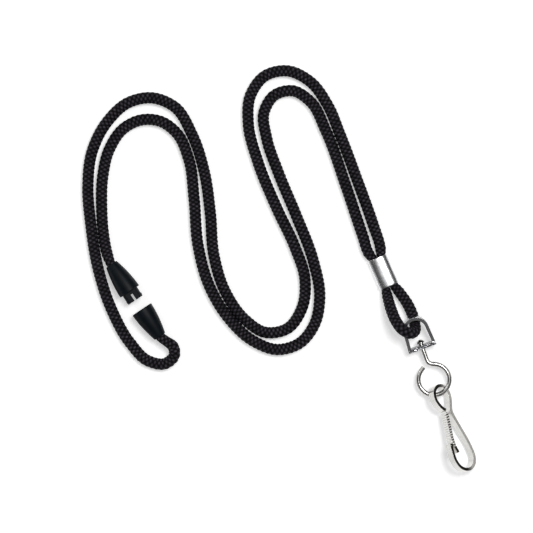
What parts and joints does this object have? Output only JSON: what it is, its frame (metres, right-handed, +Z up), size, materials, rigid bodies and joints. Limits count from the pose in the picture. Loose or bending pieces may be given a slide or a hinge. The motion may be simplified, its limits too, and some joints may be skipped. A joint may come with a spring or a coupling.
{
  "type": "neck lanyard",
  "caption": "Neck lanyard of round braided cord with a breakaway clasp, a crimped ferrule, a swivel eye and a spring hook, laid flat in an S.",
  "frame": {"origin": "middle of the crimped ferrule's underside, on the table that the lanyard lies on", "axes": "+Z up from the table; -Y along the swivel chain, from the ferrule towards the hook; +X across it, to the right as seen from above with the hook nearest"},
  "size_m": [0.1129, 0.175, 0.0114],
  "materials": {
    "braided_cord": "braided polyester, matt with a slight sheen",
    "crimp_metal": "bright rolled aluminium",
    "clasp_plastic": "satin moulded plastic",
    "eye_steel": "nickel-plated pressed steel",
    "wire_steel": "nickel-plated drawn wire",
    "hook_steel": "nickel-plated spring steel strip"
  },
  "bodies": {
    "lanyard": {"cord": "braided_cord", "ferrule": "crimp_metal", "clasp_plug": "clasp_plastic"},
    "socket": {"clasp_socket": "clasp_plastic"},
    "eye": {"swivel_eye": "eye_steel"},
    "link": {"swivel_link": "wire_steel"},
    "hook": {"hook": "hook_steel"},
    "gate": {"hook_gate": "hook_steel"}
  },
  "joints": [
    {"name": "clasp_close", "type": "slide", "parent": "lanyard", "child": "socket", "axis": [-0.2419, 0.9703, 0], "range_m": [0, 0.0078]},
    {"name": "eye_swing", "type": "hinge", "parent": "lanyard", "child": "eye", "pos_m": [0.004, -0.02429, 0.00558], "axis": [0, -0.2164, 0.9763], "range_deg": [-30, 30]},
    {"name": "swivel_spin", "type": "hinge", "parent": "eye", "child": "link", "pos_m": [0.004, -0.033, 0.00405], "axis": [0, 1, 0], "continuous": true},
    {"name": "hook_swing", "type": "hinge", "parent": "link", "child": "hook", "pos_m": [0.004, -0.051, 0.00415], "axis": [0.7071, 0.0271, 0.7066], "range_deg": [-60, 60]},
    {"name": "gate_open", "type": "hinge", "parent": "hook", "child": "gate", "pos_m": [0.0034, -0.05697, 0.00498], "axis": [0.7071, 0.0271, 0.7066], "range_deg": [0, 12], "stiffness_Nm_per_rad": 0.3}
  ]
}
